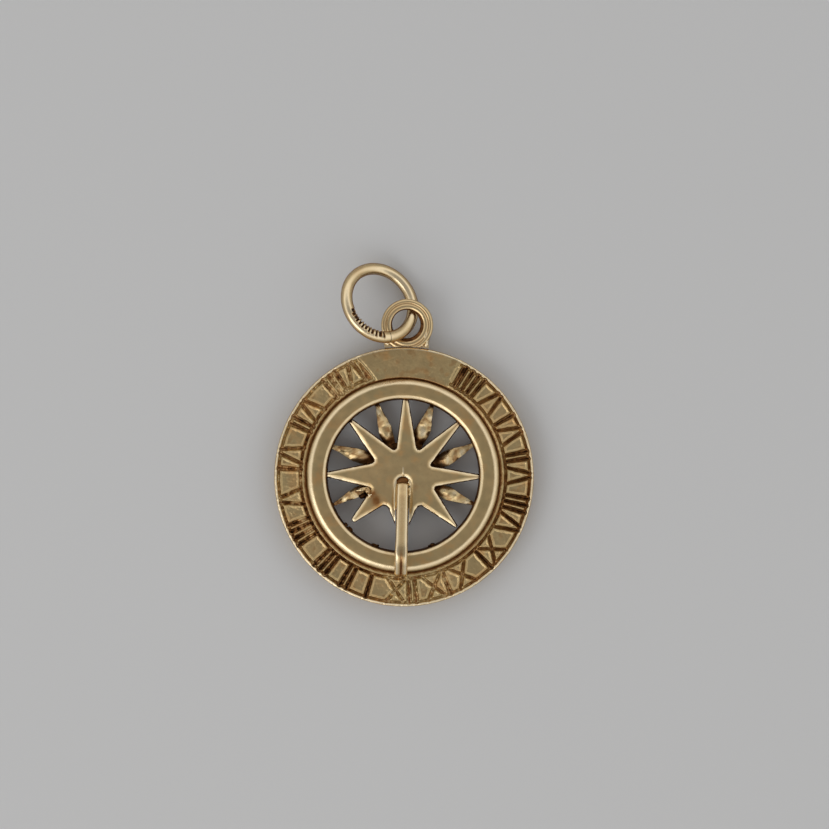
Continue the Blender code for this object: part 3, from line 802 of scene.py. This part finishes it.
def blob(name, centre, radii, turn, material, seed, roughness=0.25, node=None, dirt_and_painted_light=0.0):
    """A lumpy drop of metal."""
    rings = 14
    columns = 20
    points = []
    for i in range(rings):
        a = math.pi * (i + 0.5) / rings
        for j in range(columns):
            b = 2 * math.pi * j / columns
            points.append((math.sin(a) * math.cos(b), math.sin(a) * math.sin(b), math.cos(a)))
    unit = np.array(points)
    swell = 1.0 + roughness * fractal(unit, 1.3, 3, seed)
    local = unit * swell[:, None] * np.array(radii)
    a = math.radians(turn)
    spin = np.array([[math.cos(a), -math.sin(a), 0], [math.sin(a), math.cos(a), 0], [0, 0, 1]])
    vertices = local @ spin.T + np.array(centre)
    faces = [f[::-1] for f in grid_faces(rings, columns, False, True)]
    faces.append(list(range(columns)))
    faces.append(list(range(len(vertices) - columns, len(vertices)))[::-1])
    item = make_object(name, vertices, faces, material, dirt_and_painted_light=np.full(len(vertices), dirt_and_painted_light))
    if node:
        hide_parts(node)
    return item


def make_solder(material):
    for name, node, place, radii, seed, lumpy, dirt_and_painted_light in ROOT_DROPS:
        blob(name, place, radii, 0, material, seed, lumpy, node, dirt_and_painted_light)


def make_bail(material):
    angles = np.arange(BAIL_COLUMNS) * 2 * math.pi / BAIL_COLUMNS
    out = np.column_stack([np.cos(angles), np.sin(angles)])
    groove_x, groove_half, groove_depth_z = BAIL_GROOVE
    mean, swing, toward = BAIL_LEAN
    lean = mean + swing * np.cos(angles - math.radians(toward))
    points = []
    marks = []
    for k in range(BAIL_AROUND):
        b = 2 * math.pi * k / BAIL_AROUND
        x = math.cos(b) * BAIL_W / 2
        z = math.copysign(abs(math.sin(b)) ** 0.9, math.sin(b)) * BAIL_T / 2
        groove = groove_depth_z * math.exp(-((x - groove_x) / groove_half) ** 2) * (math.sin(b) > 0)
        inner = smoothstep(-0.22, -0.34, x) * smoothstep(0.12, -0.05, z)
        ring = (BAIL_R + x - inner * lean)[:, None] * out + np.array([0.0, BAIL_Y])
        points.append(np.column_stack([ring, np.full(BAIL_COLUMNS, BAIL_Z + z - groove)]))
        # Painted shade in the top groove and on the inner wall; elsewhere a slight painted highlight.
        mark = max(0.4 * (groove > 0.05), 0.95 * (x < -0.3), 0.2 * (x > 0.36)) - 0.2
        marks.append(np.full(BAIL_COLUMNS, mark))
    points = np.concatenate(points)
    points += 0.016 * fractal(points, 0.9, 3, 12.0)[:, None] * np.array([1.0, 1.0, 0.5])
    reach = np.linalg.norm(points[:, :2], axis=1)
    inside = reach < DIAL_R + GAP
    points[inside, :2] *= ((DIAL_R + GAP) / reach[inside])[:, None]
    faces = grid_faces(BAIL_AROUND, BAIL_COLUMNS, True, True)
    item = make_object("bail_loop", points, faces, material, dirt_and_painted_light=np.concatenate(marks))
    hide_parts("bail")


def make_feet(material):
    for i, (place, radii) in enumerate(FOOT_DROPS):
        # The drops are lightened: painted highlights on partly rubbed metal.
        blob(f"foot_drop_{i}", place, radii, 0, material, 80.0 + i, 0.35, dirt_and_painted_light=-0.9)


def ring_frame():
    """Place of the jump ring: X towards its far side, Z along its own axis."""
    bearing = math.radians(RING_BEARING)
    away = Vector((math.cos(bearing), math.sin(bearing), 0.0))
    across = Vector((-math.sin(bearing), math.cos(bearing), 0.0))
    x = (away + Vector((0, 0, RING_SLOPE_ALONG))).normalized()
    y = across + Vector((0, 0, RING_SLOPE_ACROSS))
    z = x.cross(y).normalized()
    y = z.cross(x)
    centre = Vector((0, BAIL_Y, RING_Z)) + away * RING_FROM_BAIL
    return np.array(Matrix((x, y, z)).transposed()), np.array(centre)


def make_jump_ring(material):
    axes, centre = ring_frame()
    half_seam = math.degrees(SEAM_HALF / RING_R)
    turn = np.radians(np.linspace(SEAM_ANGLE + half_seam, SEAM_ANGLE + 360.0 - half_seam, RING_COLUMNS))
    along = np.repeat(turn, RING_AROUND)
    section = np.tile(2 * math.pi * np.arange(RING_AROUND) / RING_AROUND, RING_COLUMNS)
    out = np.column_stack([np.cos(along), np.sin(along), np.zeros(len(along))])
    normal = np.cos(section)[:, None] * out + np.sin(section)[:, None] * np.array([0.0, 0.0, 1.0])
    local = RING_R * out + WIRE_R * normal
    bumps = RING_BUMPS * fractal(local, 0.8, 3, 20.0)
    dent, mark = punched(np.mod(np.degrees(along), 360.0), section)
    local += normal * (bumps - RING_SKIN - dent)[:, None]
    # The wire is painted by which way it faces: painted shade on its sides, a painted highlight on top.
    facing = (normal @ axes.T)[:, 2]
    side_shade = smoothstep(0.62, 0.30, facing) * smoothstep(-0.35, 0.05, facing)
    polish_and_highlight = smoothstep(0.72, 0.92, facing) * (mark < 0.1)
    mark = np.maximum(mark, 0.42 * side_shade) - 0.7 * polish_and_highlight
    faces = [f[::-1] for f in grid_faces(RING_COLUMNS, RING_AROUND, False, True)]
    faces.append(list(range(RING_AROUND)))
    faces.append(list(range(len(local) - RING_AROUND, len(local)))[::-1])
    item = make_object("ring_wire", local @ axes.T + centre, faces, material, RING_BODY, mark,
                       sharp=60.0)
    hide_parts("jump_ring")


def punched(degrees, section):
    """Depth and dirt of a row of plain punch marks on the ring, which stand for no real stamp."""
    depth = np.zeros(len(degrees))
    facing = np.cos(section - math.radians(PUNCH_SIDE))
    for at, width, length in PUNCHES:
        across = smoothstep(1.0 - length, 1.0 - length * 0.8, facing)
        depth = np.maximum(depth, np.exp(-((degrees - at) / width) ** 4) * across)
    return PUNCH_DEPTH * depth, np.clip(depth * 1.2, 0.0, 1.0)


def gold(name, base, rubbed_and_highlight, roughness, grain, mottle):
    """Worn yellow gold. Its colour attribute carries dirt and painted light: 1 in dirty hollows and painted
    shade, -1 on rubbed edges and painted highlights.
    """
    material = bpy.data.materials.new(name)
    material.use_nodes = True
    tree = material.node_tree
    nodes = tree.nodes
    link = tree.links.new
    shader = nodes["Principled BSDF"]
    shader.inputs["Metallic"].default_value = 1.0
    place = nodes.new("ShaderNodeTexCoord").outputs["Object"]
    attribute = nodes.new("ShaderNodeAttribute")
    attribute.attribute_name = "dirt_and_painted_light"
    state = attribute.outputs["Fac"]

    def noise_at(scale, detail, rough=0.55):
        node = nodes.new("ShaderNodeTexNoise")
        node.inputs["Scale"].default_value = scale
        node.inputs["Detail"].default_value = detail
        node.inputs["Roughness"].default_value = rough
        link(place, node.inputs["Vector"])
        return node.outputs["Fac"]

    def remap(value, low, high, to_low, to_high):
        node = nodes.new("ShaderNodeMapRange")
        for key, number in (("From Min", low), ("From Max", high), ("To Min", to_low), ("To Max", to_high)):
            node.inputs[key].default_value = number
        link(value, node.inputs["Value"])
        return node.outputs["Result"]

    def mix(factor, a, b):
        node = nodes.new("ShaderNodeMix")
        node.data_type = "RGBA"
        link(factor, node.inputs["Factor"])
        for value, socket in ((a, node.inputs[6]), (b, node.inputs[7])):
            if isinstance(value, tuple):
                socket.default_value = (*value, 1.0)
            else:
                link(value, socket)
        return node.outputs[2]

    def combine(kind, a, b):
        node = nodes.new("ShaderNodeMath")
        node.operation = kind
        node.use_clamp = True
        for value, socket in ((a, node.inputs[0]), (b, node.inputs[1])):
            if isinstance(value, float):
                socket.default_value = value
            else:
                link(value, socket)
        return node.outputs[0]

    greenish = tuple(c * k for c, k in zip(base, (0.88, 0.95, 0.98)))
    reddish = tuple(c * k for c, k in zip(base, (0.98, 0.86, 0.76)))
    colour = mix(remap(noise_at(420.0, 5.0), 0.35, 0.68, 0.0, mottle), base, greenish)
    colour = mix(remap(noise_at(900.0, 4.0), 0.52, 0.72, 0.0, mottle), colour, reddish)
    colour = mix(remap(noise_at(5200.0, 3.0), 0.60, 0.75, 0.0, 0.3), colour, tuple(c * 0.6 for c in base))
    # Rubbed edges and painted highlights take the pale colour.
    polish_and_highlight = remap(state, -0.15, -0.8, 0.0, 1.0)
    colour = mix(polish_and_highlight, colour, rubbed_and_highlight)
    uneven = remap(noise_at(2600.0, 4.0), 0.3, 0.7, 0.7, 1.25)
    dirt_and_painted_light = combine("MULTIPLY", state, uneven)
    # Dirt and painted shade turn it brown, then near black.
    colour = mix(remap(dirt_and_painted_light, 0.05, 0.45, 0.0, 1.0), colour, STAIN_AND_SHADE)
    colour = mix(remap(dirt_and_painted_light, 0.45, 1.0, 0.0, 1.0), colour, GRIME_AND_SHADE)
    link(colour, shader.inputs["Base Color"])
    worn = remap(noise_at(1800.0, 5.0), 0.3, 0.7, roughness * 0.8, roughness * 1.25)
    rubbed = combine("SUBTRACT", worn, combine("MULTIPLY", polish_and_highlight, roughness * 0.3))
    link(combine("ADD", rubbed, combine("MULTIPLY", dirt_and_painted_light, 0.3)), shader.inputs["Roughness"])
    bump = nodes.new("ShaderNodeBump")
    bump.inputs["Strength"].default_value = 1.0
    bump.inputs["Distance"].default_value = grain * MM
    link(noise_at(7000.0, 6.0, 0.7), bump.inputs["Height"])
    link(bump.outputs["Normal"], shader.inputs["Normal"])
    return material


def make_floor():
    mesh = bpy.data.meshes.new("floor")
    half = FLOOR_HALF * MM
    corners = [(-half, -half, 0), (half, -half, 0), (half, half, 0), (-half, half, 0)]
    mesh.from_pydata(corners, [], [(0, 1, 2, 3)])
    item = bpy.data.objects.new("floor", mesh)
    bpy.context.scene.collection.objects.link(item)
    material = bpy.data.materials.new("pale_floor")
    material.use_nodes = True
    shader = material.node_tree.nodes["Principled BSDF"]
    shader.inputs["Base Color"].default_value = (*FLOOR_COLOUR, 1.0)
    shader.inputs["Roughness"].default_value = 0.8
    mesh.materials.append(material)


def make_light():
    """A light tent that is dim straight above and bright all round, with one soft panel."""
    world = bpy.data.worlds.new("tent")
    bpy.context.scene.world = world
    world.use_nodes = True
    nodes = world.node_tree.nodes
    link = world.node_tree.links.new
    split = nodes.new("ShaderNodeSeparateXYZ")
    link(nodes.new("ShaderNodeTexCoord").outputs["Generated"], split.inputs[0])
    ramp = nodes.new("ShaderNodeValToRGB")
    steps = ramp.color_ramp.elements
    steps[0].position = 0.0
    steps[0].color = (*HORIZON, 1.0)
    steps[1].position = 1.0
    steps[1].color = (ZENITH, ZENITH, ZENITH, 1.0)
    for position, value in TENT:
        step = steps.new(position)
        step.color = (*(value * c for c in TENT_TINT), 1.0)
    link(split.outputs["Z"], ramp.inputs["Fac"])
    link(ramp.outputs["Color"], nodes["Background"].inputs["Color"])
    nodes["Background"].inputs["Strength"].default_value = 1.0
    lamp = bpy.data.lights.new("side_panel", "AREA")
    lamp.shape = "RECTANGLE"
    lamp.size = PANEL_SIZE[0] * MM
    lamp.size_y = PANEL_SIZE[1] * MM
    lamp.energy = PANEL_WATTS
    item = bpy.data.objects.new("side_panel", lamp)
    item.location = Vector(PANEL_AT) * MM
    item.rotation_euler = (-Vector(PANEL_AT)).to_track_quat("-Z", "Y").to_euler()
    bpy.context.scene.collection.objects.link(item)


def make_camera():
    data = bpy.data.cameras.new("camera")
    data.sensor_width = SENSOR
    data.lens = SENSOR * CAMERA_HEIGHT / WIDTH_IN_FRAME
    data.clip_start = 0.01
    data.clip_end = 10.0
    item = bpy.data.objects.new("camera", data)
    bpy.context.scene.collection.objects.link(item)
    turn = math.radians(TURN)
    x = CENTRE[0] * math.cos(turn) - CENTRE[1] * math.sin(turn)
    y = CENTRE[0] * math.sin(turn) + CENTRE[1] * math.cos(turn)
    item.location = (x * MM, y * MM, (CAMERA_HEIGHT + PLATE_T) * MM)
    item.rotation_euler = (0.0, 0.0, turn)
    bpy.context.scene.camera = item


def main():
    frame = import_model()
    bpy.context.scene.view_settings.view_transform = "Standard"
    dull = gold("dull_gold_worn", DULL_BASE, RUBBED_AND_HIGHLIGHT, 0.36, 0.010, 1.0)
    bright = gold("bright_gold_worn", BRIGHT_BASE, RUBBED_AND_HIGHLIGHT, 0.24, 0.004, 0.5)
    cast = gold("cast_gold_rough", CAST_BASE, RUBBED_AND_HIGHLIGHT, 0.32, 0.012, 0.8)
    solder = gold("solder_gold_pale", SOLDER_BASE, RUBBED_AND_HIGHLIGHT, 0.25, 0.006, 0.4)
    sun = gold("sun_gold_worn", SUN_BASE, RUBBED_AND_HIGHLIGHT, 0.36, 0.010, 1.0)
    make_dial_plate(dull)
    make_bezel(dull)
    make_sun(sun)
    make_back_sun(cast)
    make_gnomon(bright)
    make_solder(solder)
    make_bail(bright)
    make_feet(solder)
    make_jump_ring(bright)
    for name in ("bail_foot_left", "bail_foot_right"):
        frame["nodes"][name].material_slots[0].material = solder
    make_floor()
    make_light()
    make_camera()


main()
